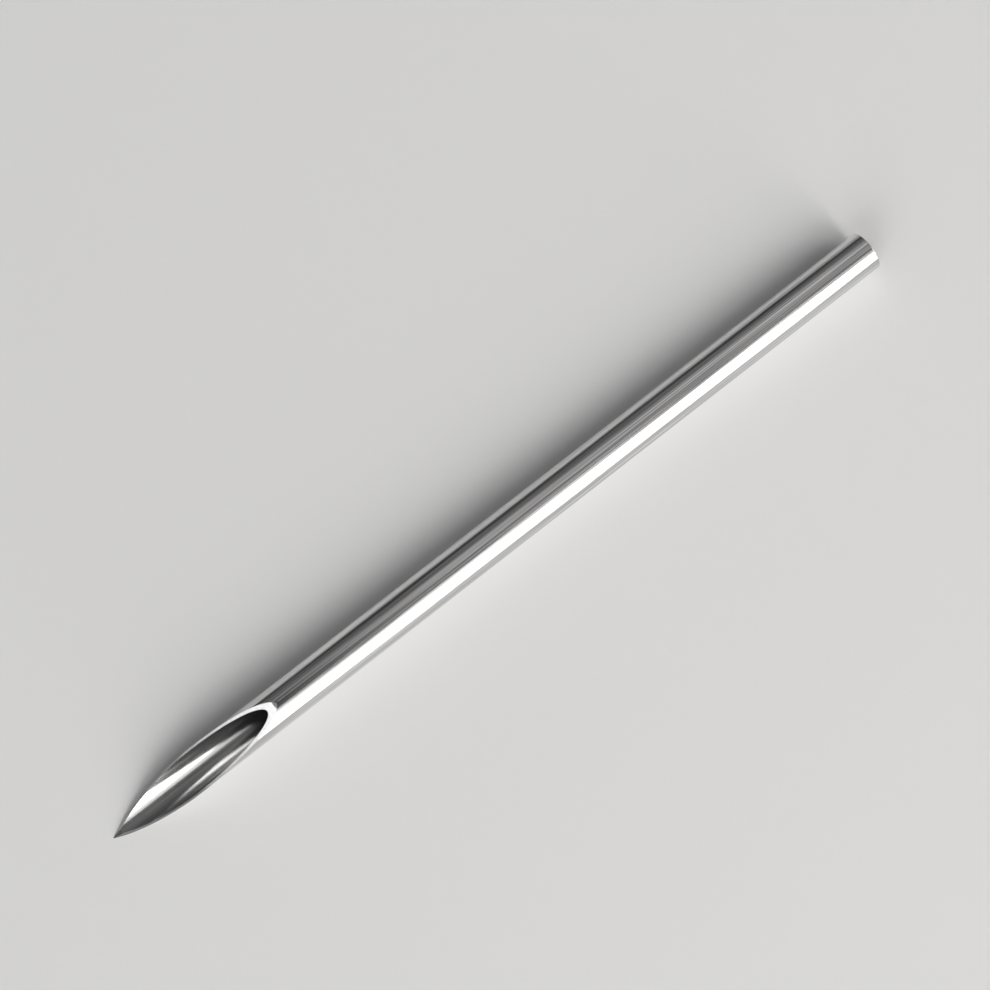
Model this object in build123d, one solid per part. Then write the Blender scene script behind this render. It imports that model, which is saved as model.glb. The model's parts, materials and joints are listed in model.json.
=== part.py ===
from build123d import *
import os
from math import atan2, cos, degrees, radians, sin

# A hollow piercing needle: thin-walled drawn steel tube, ground to a point and cut square at the butt.
# It lies along X on the plane z = 0, with the point towards -X and the opening of the bevel facing up.
# The origin is under the middle of its length. Sizes are in millimetres and degrees.

# Tube
tube_diameter = 2.2
wall_thickness = 0.11
overall_length = 50.8

# Long bevel across the tube, which opens the bore
bevel_length = 10.5           # from the tip to where its flat would meet the top of the tube
heel_radius = 2.0             # polished round at the heel, where the bevel runs out on the tube
heel_runout_angle = 3.0       # slope at which that round leaves the top of the tube

# Two side bevels, which make the point
side_bevel_angle = 16.0       # slope of each side bevel against the axis
side_bevel_turn = 33.0        # turn of the needle each way about its axis when they are ground

# Butt
rim_radius = 0.06             # tumbled round on the outer edge
bore_break = 0.015            # small chamfer at the mouth of the bore

# Room that a cutting body has beyond the metal that it takes away
cutter_margin = 1.0

outer_radius = tube_diameter / 2
bore_radius = outer_radius - wall_thickness
tip_x = -overall_length / 2
heel_x = tip_x + bevel_length
bevel_slope = atan2(tube_diameter, bevel_length)
centre_line = Axis((0, 0, outer_radius), (1, 0, 0))


def drawn_tube():
    """The tube before grinding: its wall section, with the worked butt edges, turned about the axis."""
    wall = Pos(tip_x, bore_radius) * Rectangle(overall_length, wall_thickness, align=Align.MIN)
    butt_corners = wall.vertices().group_by(Axis.X)[-1].sort_by(Axis.Y)
    wall = chamfer(butt_corners[0], bore_break)
    outer_corner = wall.vertices().group_by(Axis.X)[-1].sort_by(Axis.Y)[-1]
    wall = fillet(outer_corner, rim_radius)
    return revolve(Plane((0, 0, outer_radius)) * wall, centre_line, 360)


def long_bevel_cutter():
    """What the long bevel takes away: a straight slope that ends in the polished round of the heel."""
    runout = radians(heel_runout_angle)
    round_rise = heel_radius * (cos(runout) - cos(bevel_slope))
    round_start = (
        heel_x - round_rise * bevel_length / tube_diameter,
        tube_diameter - round_rise,
    )
    slope_start = (
        tip_x - cutter_margin,
        -cutter_margin * tube_diameter / bevel_length,
    )
    slope = Line(slope_start, round_start)
    heel_round = JernArc(
        round_start,
        (cos(bevel_slope), sin(bevel_slope)),
        heel_radius,
        heel_runout_angle - degrees(bevel_slope),
    )
    top = tube_diameter + cutter_margin
    heel_end = heel_round @ 1
    back = Polyline(heel_end, (heel_end.X, top), (slope_start[0], top), slope_start)
    profile = Plane.XZ * make_face([slope, heel_round, back])
    return extrude(profile, outer_radius + cutter_margin, both=True)


def side_bevel_cutter(side):
    """What one side bevel takes away: all above a plane through the tip, for side 1 or -1."""
    turn = radians(side_bevel_turn) * side
    slope = radians(side_bevel_angle)
    removed_side = (-sin(slope), cos(slope) * sin(turn), cos(slope) * cos(turn))
    ground_plane = Plane((tip_x, 0, 0), z_dir=removed_side)
    reach = 2 * (bevel_length + cutter_margin)
    return ground_plane * Box(reach, reach, reach, align=(Align.CENTER, Align.CENTER, Align.MIN))


def piercing_needle():
    """The finished needle, as one piece of metal."""
    needle = drawn_tube() - long_bevel_cutter()
    for side in (1, -1):
        needle -= side_bevel_cutter(side)
    return needle


os.makedirs("parts", exist_ok=True)
export_step(piercing_needle(), "parts/needle.step")
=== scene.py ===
import json
from math import cos, pi, radians, sin

import bpy
from mathutils import Matrix, Vector

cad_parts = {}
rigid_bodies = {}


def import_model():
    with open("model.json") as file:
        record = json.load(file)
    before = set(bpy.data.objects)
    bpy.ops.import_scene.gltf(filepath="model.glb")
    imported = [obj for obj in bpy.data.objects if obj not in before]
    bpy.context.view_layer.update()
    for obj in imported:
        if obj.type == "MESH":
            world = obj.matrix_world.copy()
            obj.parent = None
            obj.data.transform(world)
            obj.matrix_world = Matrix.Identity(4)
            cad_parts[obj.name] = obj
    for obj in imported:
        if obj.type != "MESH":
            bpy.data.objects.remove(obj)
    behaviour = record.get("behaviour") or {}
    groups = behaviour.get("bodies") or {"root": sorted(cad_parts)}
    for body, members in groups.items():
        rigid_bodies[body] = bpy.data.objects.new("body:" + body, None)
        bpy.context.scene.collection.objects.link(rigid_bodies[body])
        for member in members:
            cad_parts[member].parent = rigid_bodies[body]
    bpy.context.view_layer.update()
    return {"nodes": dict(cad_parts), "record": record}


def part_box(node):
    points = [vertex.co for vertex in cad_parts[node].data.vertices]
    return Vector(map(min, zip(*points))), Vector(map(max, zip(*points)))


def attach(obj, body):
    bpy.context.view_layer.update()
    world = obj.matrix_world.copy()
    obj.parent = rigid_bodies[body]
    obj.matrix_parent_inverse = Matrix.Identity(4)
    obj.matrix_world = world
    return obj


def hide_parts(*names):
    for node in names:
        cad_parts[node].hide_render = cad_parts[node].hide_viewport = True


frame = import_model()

mm = 0.001
print("frame loaded, nodes:", sorted(frame["nodes"]))


class Wire:
    # An output socket. Expressions on wires add the Math nodes that work them out.
    def __init__(self, board, socket):
        self.board = board
        self.socket = socket

    def math(self, operation, *others):
        sockets = dict(enumerate((self,) + others))
        return self.board.add("ShaderNodeMath", {"operation": operation}, sockets)

    def output(self, name):
        return Wire(self.board, self.socket.node.outputs[name])

    def clamped(self):
        return self.board.add("ShaderNodeClamp", {}, {"Value": self})

    def __add__(self, other):
        return self.math("ADD", other)

    def __radd__(self, other):
        return self.math("ADD", other)

    def __sub__(self, other):
        return self.math("SUBTRACT", other)

    def __rsub__(self, other):
        return self.board.add("ShaderNodeMath", {"operation": "SUBTRACT"}, {0: other, 1: self})

    def __mul__(self, other):
        return self.math("MULTIPLY", other)

    def __rmul__(self, other):
        return self.math("MULTIPLY", other)

    def __truediv__(self, other):
        return self.math("DIVIDE", other)

    def __pow__(self, other):
        return self.math("POWER", other)

    def __gt__(self, other):
        return self.math("GREATER_THAN", other)


class Board:
    # A node tree, and the one way to put a node on it: settings first, then socket values and links.
    def __init__(self, tree):
        self.tree = tree
        tree.nodes.clear()

    def add(self, kind, settings, sockets, output=0):
        node = self.tree.nodes.new(kind)
        for name, value in settings.items():
            setattr(node, name, value)
        for key, value in sockets.items():
            wires = value if isinstance(value, list) else [value]
            for wire in wires:
                if isinstance(wire, Wire):
                    self.tree.links.new(wire.socket, node.inputs[key])
                else:
                    node.inputs[key].default_value = wire
        return Wire(self, node.outputs[output]) if node.outputs else None


def newMaterial(name):
    material = bpy.data.materials.new(name)
    material.use_nodes = True
    return material, Board(material.node_tree)


# Steel finishes. Marks are in millimetres: width across them, and length along them.
drawnLook = {
    "colour": 0.62,
    "metallic": 1.0,
    "roughness": 0.14,
    "lineWidth": 0.075,
    "lineLength": 16.0,
    "fineWidth": 0.03,
    "fineLength": 6.0,
    "colourSwing": 1.3,
    "roughnessSwing": 0.10,
    "lineHeight": 0.0014,
}
groundLook = {
    "colour": 0.66,
    "metallic": 1.0,
    "roughness": 0.06,
    "lineWidth": 0.03,
    "lineLength": 1.6,
    "fineWidth": 0.012,
    "fineLength": 0.8,
    "colourSwing": 0.16,
    "roughnessSwing": 0.04,
    "lineHeight": 0.0003,
}
boreLook = {
    "colour": 0.46,
    "metallic": 0.93,
    "roughness": 0.21,
    "lineWidth": 0.06,
    "lineLength": 12.0,
    "fineWidth": 0.025,
    "fineLength": 4.0,
    "colourSwing": 0.4,
    "roughnessSwing": 0.05,
    "lineHeight": 0.0003,
}
# What the three finishes share: coarse and fine lines mixed, and a faint cloud in the polish.
steelMarks = {
    "lineShare": 0.7,
    "fineShare": 0.3,
    "lineDetail": 2.0,
    "fineDetail": 1.0,
    "cloudScale": 420.0,
    "cloudDetail": 3.0,
    "cloudSwing": 0.4,
}


def markedNoise(board, place, width, length, along, detail):
    # Noise drawn out along one axis, so that it reads as lines of a given width and length.
    size = [1 / (width * mm)] * 3
    size[along] = 1 / (length * mm)
    stretch = {0: place, 1: tuple(size)}
    stretched = board.add("ShaderNodeVectorMath", {"operation": "MULTIPLY"}, stretch)
    return board.add("ShaderNodeTexNoise", {}, {"Vector": stretched, "Scale": 1.0, "Detail": detail})


def cloudNoise(board, place, scale, detail):
    return board.add("ShaderNodeTexNoise", {}, {"Vector": place, "Scale": scale, "Detail": detail})


def greyColour(board, shade):
    return board.add("ShaderNodeCombineColor", {}, {"Red": shade, "Green": shade, "Blue": shade})


def steel(name, look, along):
    shared = steelMarks
    material, board = newMaterial(name)
    place = board.add("ShaderNodeTexCoord", {}, {}, "Object")
    lines = markedNoise(board, place, look["lineWidth"], look["lineLength"], along, shared["lineDetail"])
    fine = markedNoise(board, place, look["fineWidth"], look["fineLength"], along, shared["fineDetail"])
    cloud = cloudNoise(board, place, shared["cloudScale"], shared["cloudDetail"])
    # Noise lies round 0.5, so the marks lie round 0 and reach 1 either way.
    marks = (lines * shared["lineShare"] + fine * shared["fineShare"] - 0.5) * 2

    colour = greyColour(board, look["colour"] * (1 + marks * look["colourSwing"]))
    lineWear = marks * (look["roughnessSwing"] / look["roughness"])
    roughness = look["roughness"] * (1 + lineWear + (cloud - 0.5) * shared["cloudSwing"])
    relief = {"Strength": 1.0, "Distance": look["lineHeight"] * mm, "Height": marks}
    bump = board.add("ShaderNodeBump", {}, relief)
    finish = {"Base Color": colour, "Metallic": look["metallic"], "Roughness": roughness, "Normal": bump}
    shader = board.add("ShaderNodeBsdfPrincipled", {}, finish)
    board.add("ShaderNodeOutputMaterial", {}, {"Surface": shader})
    return material


paperLook = {
    "colour": 0.74,
    "roughness": 0.75,
    "cloudScale": 9.0,
    "cloudDetail": 3.0,
    "cloudSwing": 0.03,
}


def floorPaper():
    look = paperLook
    material, board = newMaterial("floorPaper")
    place = board.add("ShaderNodeTexCoord", {}, {}, "Object")
    cloud = cloudNoise(board, place, look["cloudScale"], look["cloudDetail"])
    colour = greyColour(board, look["colour"] + (cloud - 0.5) * look["cloudSwing"])
    finish = {"Base Color": colour, "Roughness": look["roughness"]}
    shader = board.add("ShaderNodeBsdfPrincipled", {}, finish)
    board.add("ShaderNodeOutputMaterial", {}, {"Surface": shader})
    return material


# The needle is one wall section, walked once round and carried round the tube in many columns.
# The walk has a band of rows for each part of the section, in order: the outer skin, the round of the rim,
# the face of the butt, the break at the bore's mouth, the bore's skin and the ground ring.
needleWalk = {
    "columns": 480,
    "bandRows": {"skin": 14, "rim": 18, "butt": 2, "break": 1, "bore": 14, "ring": 10},
    "rowGrading": 2.2,            # above 1 the skins have short rows at the bevel and long ones behind
    "sharpAngle": radians(9),     # edges that turn more than this stay crisp
    "mergeDistance": 0.001 * mm,
}


def mountRadius(name):
    mount = next(item for item in frame["record"]["mounts"] if item["name"] == name)
    return mount["dims"]["r_mm"] * mm


def needleSizes():
    low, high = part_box("needle")
    return {
        "Tip X": low.x,
        "Butt X": high.x,
        "Outer radius": mountRadius("shaft"),
        "Bore radius": mountRadius("butt_bore"),
        "Bevel length": 10.5 * mm,
        "Heel radius": 2.0 * mm,
        "Heel runout": radians(3),
        "Side bevel angle": radians(16),
        "Side bevel turn": radians(33),
        "Rim radius": 0.06 * mm,
        "Bore break": 0.015 * mm,
    }


def bevelStart(size, y, z):
    # X at which the metal starts: behind the long bevel with its heel round, and behind the side bevels.
    topZ = 2 * size["Outer radius"]
    slope = topZ.math("ARCTAN2", size["Bevel length"])
    slopeCos = slope.math("COSINE")
    runoutCos = size["Heel runout"].math("COSINE")
    heelRise = size["Heel radius"] * (runoutCos - slopeCos)
    flat = size["Tip X"] + z * size["Bevel length"] / topZ

    centreX = size["Tip X"] + size["Bevel length"]
    centreX = centreX + size["Heel radius"] * (1 - runoutCos * slopeCos) / slope.math("SINE")
    centreZ = topZ - size["Heel radius"] * runoutCos
    heel = centreX - (size["Heel radius"] ** 2 - (z - centreZ) ** 2).math("SQRT")

    onHeel = z > topZ - heelRise
    longBevel = flat + (heel - flat) * onHeel
    acrossFlat = z * size["Side bevel turn"].math("COSINE")
    acrossFlat = acrossFlat + y.math("ABSOLUTE") * size["Side bevel turn"].math("SINE")
    sideBevel = size["Tip X"] + acrossFlat / size["Side bevel angle"].math("TANGENT")
    return longBevel.math("MAXIMUM", sideBevel)


def kinkAngle(size, radius):
    # Angle up from the bottom at which the side bevel gives way to the long bevel, at a radius.
    tangent = size["Side bevel angle"].math("TANGENT")
    longRun = size["Bevel length"] / (2 * size["Outer radius"])
    upRun = size["Side bevel turn"].math("COSINE") / tangent
    outRun = size["Side bevel turn"].math("SINE") / tangent
    ratio = (longRun - upRun) / outRun
    reach = ratio * size["Outer radius"] / (radius * (1 + ratio * ratio).math("SQRT"))
    return pi - reach.math("ARCSINE") - ratio.math("ARCTANGENT")


def needleTree(names):
    tree = bpy.data.node_groups.new("needleTree", "GeometryNodeTree")
    for name in names:
        tree.interface.new_socket(name, in_out="INPUT", socket_type="NodeSocketFloat")
    for name in ("Drawn steel", "Ground steel", "Bore steel"):
        tree.interface.new_socket(name, in_out="INPUT", socket_type="NodeSocketMaterial")
    tree.interface.new_socket("Needle", in_out="OUTPUT", socket_type="NodeSocketGeometry")
    board = Board(tree)
    first = board.add("NodeGroupInput", {}, {})
    size = {name: first.output(name) for name in names}

    # Flat grids: X from -1 to 1 is one turn round the tube, and Y is how far the wall is walked.
    bandRows = needleWalk["bandRows"]
    bands = []
    for place, rows in enumerate(bandRows.values()):
        counts = {"Vertices X": needleWalk["columns"] + 1, "Vertices Y": rows + 1}
        grid = board.add("GeometryNodeMeshGrid", {}, {"Size X": 2.0, "Size Y": 1.0, **counts})
        shift = {"Geometry": grid, "Translation": (0, place + 0.5, 0)}
        bands.append(board.add("GeometryNodeTransform", {}, shift))
    strip = board.add("GeometryNodeJoinGeometry", {}, {"Geometry": bands})

    position = board.add("GeometryNodeInputPosition", {}, {})
    turnShare = board.add("ShaderNodeSeparateXYZ", {}, {0: position})
    walked = turnShare.output("Y")
    bandStart = {name: place for place, name in enumerate(bandRows)}
    # Finish 0 is drawn, 1 is ground or tumbled, and 2 is the bore's.
    finish = (walked > bandStart["rim"]) + (walked > bandStart["bore"]) - (walked > bandStart["ring"])
    strip = board.add(
        "GeometryNodeStoreNamedAttribute",
        {"data_type": "INT", "domain": "FACE"},
        {"Geometry": strip, "Name": "finish", "Value": finish},
    )

    share = {name: (walked - start).clamped() for name, start in bandStart.items()}
    rimTurn = share["rim"] * (pi / 2)
    radius = size["Outer radius"] - size["Rim radius"] * (1 - rimTurn.math("COSINE"))
    buttWidth = size["Outer radius"] - size["Rim radius"] - size["Bore radius"] - size["Bore break"]
    radius = radius - buttWidth * share["butt"] - size["Bore break"] * share["break"]
    radius = radius + (size["Outer radius"] - size["Bore radius"]) * share["ring"]

    # Half of each side's columns lie on the side bevel, and half on the long bevel.
    kink = kinkAngle(size, radius)
    halfTurn = turnShare.math("ABSOLUTE") * 2
    turn = kink * halfTurn.math("MINIMUM", 1) + (pi - kink) * (halfTurn - 1).math("MAXIMUM", 0)
    turn = turn * turnShare.math("SIGN")
    y = radius * turn.math("SINE")
    z = size["Outer radius"] - radius * turn.math("COSINE")

    start = bevelStart(size, y, z)
    skinEnd = size["Butt X"] - size["Rim radius"]
    boreEnd = size["Butt X"] - size["Bore break"]
    grading = needleWalk["rowGrading"]
    x = start + (skinEnd - start) * share["skin"] ** grading + size["Rim radius"] * rimTurn.math("SINE")
    x = x - size["Bore break"] * share["break"] - (boreEnd - start) * (1 - (1 - share["bore"]) ** grading)
    place = board.add("ShaderNodeCombineXYZ", {}, {"X": x, "Y": y, "Z": z})
    shell = board.add("GeometryNodeSetPosition", {}, {"Geometry": strip, "Position": place})
    merge = {"Geometry": shell, "Distance": needleWalk["mergeDistance"]}
    shell = board.add("GeometryNodeMergeByDistance", {}, merge)

    shell = board.add("GeometryNodeSetShadeSmooth", {}, {"Geometry": shell})
    angle = board.add("GeometryNodeInputMeshEdgeAngle", {}, {}, "Unsigned Angle")
    crisp = {"Geometry": shell, "Selection": angle > needleWalk["sharpAngle"], "Shade Smooth": False}
    shell = board.add("GeometryNodeSetShadeSmooth", {"domain": "EDGE"}, crisp)

    stored = board.add("GeometryNodeInputNamedAttribute", {"data_type": "INT"}, {"Name": "finish"})
    shell = board.add("GeometryNodeRealizeInstances", {}, {"Geometry": shell})
    dressed = {"Geometry": shell, "Material": first.output("Drawn steel")}
    shell = board.add("GeometryNodeSetMaterial", {}, dressed)
    for number, name in enumerate(("Ground steel", "Bore steel"), start=1):
        dressed = {"Geometry": shell, "Selection": stored > number - 0.5, "Material": first.output(name)}
        shell = board.add("GeometryNodeSetMaterial", {}, dressed)
    board.add("NodeGroupOutput", {}, {"Needle": shell})
    return tree


def needleBody():
    values = needleSizes()
    tree = needleTree(list(values))
    values["Drawn steel"] = steel("drawnSteel", drawnLook, 0)
    values["Ground steel"] = steel("groundSteel", groundLook, 1)
    values["Bore steel"] = steel("boreSteel", boreLook, 0)

    piece = bpy.data.objects.new("needleBody", bpy.data.meshes.new("needleBody"))
    bpy.context.scene.collection.objects.link(piece)
    modifier = piece.modifiers.new("needleTree", "NODES")
    modifier.node_group = tree
    for item in tree.interface.items_tree:
        if item.in_out == "INPUT":
            modifier[item.identifier] = values[item.name]
    evaluated = piece.evaluated_get(bpy.context.evaluated_depsgraph_get())
    mesh = bpy.data.meshes.new_from_object(evaluated)
    piece.modifiers.clear()
    piece.data = mesh
    mesh.name = "needleBody"

    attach(piece, "root")
    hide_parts("needle")
    print("needle body:", len(mesh.vertices), "points,", len(mesh.polygons), "faces")


studioFloor = {
    "radius": 1.5,
    "rimStart": 1.0,
    "rimHeight": 0.22,
    "rings": 24,
    "spokes": 96,
}


def floor():
    size = studioFloor
    points = [(0, 0, 0)]
    for ring in range(1, size["rings"] + 1):
        radius = size["radius"] * ring / size["rings"]
        climb = max(0, (radius - size["rimStart"]) / (size["radius"] - size["rimStart"]))
        height = size["rimHeight"] * climb ** 2
        for spoke in range(size["spokes"]):
            angle = 2 * pi * spoke / size["spokes"]
            points.append((radius * cos(angle), radius * sin(angle), height))
    faces = []
    for spoke in range(size["spokes"]):
        after = (spoke + 1) % size["spokes"]
        faces.append((0, 1 + spoke, 1 + after))
        for ring in range(size["rings"] - 1):
            inner = 1 + ring * size["spokes"]
            outer = inner + size["spokes"]
            faces.append((inner + spoke, outer + spoke, outer + after, inner + after))
    mesh = bpy.data.meshes.new("studioFloor")
    mesh.from_pydata(points, [], faces)
    mesh.shade_smooth()
    mesh.materials.append(floorPaper())
    piece = bpy.data.objects.new("studioFloor", mesh)
    bpy.context.scene.collection.objects.link(piece)
    print("floor laid")


# Soft boxes: the middle of each and what it faces, its width and length in metres, radiance and tint.
# The main ones make the white band along the tube, and the bore's own make the bands in the bore.
# The overhead ones make the light strip on its upper side, and the heel and facet ones the ground ring.
# The two fills are far off and large, and light the floor evenly.
softBoxes = {
    "mainBox": {
        "middle": (0.17, -0.853, 0.419),
        "faces": (0.17, 0, 0),
        "size": (0.54, 0.92),
        "radiance": 3.2,
        "tint": (1.0, 0.985, 0.965),
    },
    "mainEdge": {
        "middle": (0.25, -0.543, 0.904),
        "faces": (0.25, 0, 0),
        "size": (0.38, 0.259),
        "radiance": 0.65,
        "tint": (1.0, 0.985, 0.965),
    },
    "boreBox": {
        "middle": (0.030, -0.326, 0.152),
        "faces": (0.030, 0, 0),
        "size": (0.064, 0.284),
        "radiance": 7.0,
        "tint": (1.0, 0.985, 0.965),
    },
    "boreEdge": {
        "middle": (0.030, -0.163, 0.321),
        "faces": (0.030, 0, 0),
        "size": (0.064, 0.13),
        "radiance": 1.8,
        "tint": (1.0, 0.985, 0.965),
    },
    "overhead": {
        "middle": (0.139, 0.073, 0.350),
        "faces": (0.139, 0.073, 0),
        "size": (0.134, 0.40),
        "radiance": 0.31,
        "tint": (1.0, 0.98, 0.975),
    },
    "overheadTube": {
        "middle": (0.139, 0.098, 0.340),
        "faces": (0.139, 0.098, 0),
        "size": (0.134, 0.16),
        "radiance": 0.14,
        "tint": (1.0, 0.98, 0.975),
    },
    "overheadWing": {
        "middle": (0.136, 0.306, 0.257),
        "faces": (0.136, 0, 0),
        "size": (0.13, 0.18),
        "radiance": 0.09,
        "tint": (1.0, 0.98, 0.975),
    },
    "heelBox": {
        "middle": (-0.069, 0.053, 0.350),
        "faces": (-0.069, 0.053, 0),
        "size": (0.042, 0.14),
        "radiance": 1.55,
        "tint": (1.0, 1.0, 1.0),
    },
    "heelEdge": {
        "middle": (-0.013, 0.053, 0.350),
        "faces": (-0.013, 0.053, 0),
        "size": (0.070, 0.14),
        "radiance": 0.27,
        "tint": (1.0, 1.0, 1.0),
    },
    "farFacetBox": {
        "middle": (-0.19, 1.05, 0.30),
        "faces": (0, 0, 0),
        "size": (0.25, 0.25),
        "radiance": 0.28,
        "tint": (0.97, 0.97, 1.0),
    },
    "nearFacetBox": {
        "middle": (-0.36, -0.87, 0.54),
        "faces": (0, 0, 0),
        "size": (0.25, 0.25),
        "radiance": 0.24,
        "tint": (0.97, 0.97, 1.0),
    },
    "tipFill": {
        "middle": (-4.33, -2.99, 2.88),
        "faces": (0, 0, 0),
        "size": (3.6, 3.6),
        "radiance": 3.2,
        "tint": (1.0, 1.0, 1.0),
    },
    "buttFill": {
        "middle": (4.33, -2.99, 2.88),
        "faces": (0, 0, 0),
        "size": (3.6, 3.6),
        "radiance": 3.2,
        "tint": (1.0, 1.0, 1.0),
    },
}


def softBox(name, box):
    lamp = bpy.data.lights.new(name, "AREA")
    lamp.shape = "RECTANGLE"
    lamp.size, lamp.size_y = box["size"]
    lamp.energy = box["radiance"] * pi * box["size"][0] * box["size"][1]
    lamp.color = box["tint"]
    place = bpy.data.objects.new(name, lamp)
    away = (Vector(box["middle"]) - Vector(box["faces"])).normalized()
    across = away.cross(Vector((1, 0, 0))).normalized()
    along = across.cross(away)
    turned = Matrix((along, across, away)).transposed().to_4x4()
    place.matrix_world = Matrix.Translation(Vector(box["middle"])) @ turned
    place.visible_camera = False
    bpy.context.scene.collection.objects.link(place)


# The room is dim round the needle's sides, and pale beyond its two ends.
roomLight = {
    "overhead": 0.07,
    "level": 0.075,
    "ends": 0.35,
    "endsLevelShare": 0.3,        # of that at the horizon, rising to all of it overhead
    "endsFrom": 0.42,
    "endsTo": 0.75,
}


def studioLight():
    for name, box in softBoxes.items():
        softBox(name, box)
    world = bpy.data.worlds.new("room")
    world.use_nodes = True
    board = Board(world.node_tree)
    direction = board.add("ShaderNodeTexCoord", {}, {}, "Generated")
    height = board.add("ShaderNodeSeparateXYZ", {}, {0: direction}, "Z")
    rise = height.clamped() ** 2
    grey = roomLight["level"] + (roomLight["overhead"] - roomLight["level"]) * rise
    endSpan = roomLight["endsTo"] - roomLight["endsFrom"]
    ends = ((height.output("X").math("ABSOLUTE") - roomLight["endsFrom"]) / endSpan).clamped()
    levelShare = roomLight["endsLevelShare"]
    grey = grey + ends * roomLight["ends"] * (levelShare + (1 - levelShare) * height.clamped())
    background = board.add("ShaderNodeBackground", {}, {"Color": greyColour(board, grey)})
    board.add("ShaderNodeOutputWorld", {}, {"Surface": background})
    bpy.context.scene.world = world
    print("lamps hung")


# The photograph's viewpoint, with the aim point on the needle and angles in degrees.
viewpoint = {
    "azimuth": -59.339,
    "elevation": 72.969,
    "roll": 20.462,
    "distance": 420.0 * mm,
    "aim": (1.405 * mm, 1.785 * mm, 1.1 * mm),
    "lens": 294.9,
    "sensor": 36.0,
}


def camera():
    azimuth = radians(viewpoint["azimuth"])
    elevation = radians(viewpoint["elevation"])
    roll = radians(viewpoint["roll"])
    back = Vector((sin(azimuth) * cos(elevation), -cos(azimuth) * cos(elevation), sin(elevation)))
    levelRight = Vector((0, 0, 1)).cross(back).normalized()
    levelUp = back.cross(levelRight)
    right = levelRight * cos(roll) + levelUp * sin(roll)
    up = levelUp * cos(roll) - levelRight * sin(roll)
    lens = bpy.data.cameras.new("camera")
    lens.lens = viewpoint["lens"]
    lens.sensor_width = viewpoint["sensor"]
    place = bpy.data.objects.new("camera", lens)
    turned = Matrix((right, up, back)).transposed().to_4x4()
    eye = Vector(viewpoint["aim"]) + back * viewpoint["distance"]
    place.matrix_world = Matrix.Translation(eye) @ turned
    bpy.context.scene.collection.objects.link(place)
    bpy.context.scene.camera = place
    bpy.context.scene.view_settings.view_transform = "Standard"
    print("camera set")


needleBody()
floor()
studioLight()
camera()
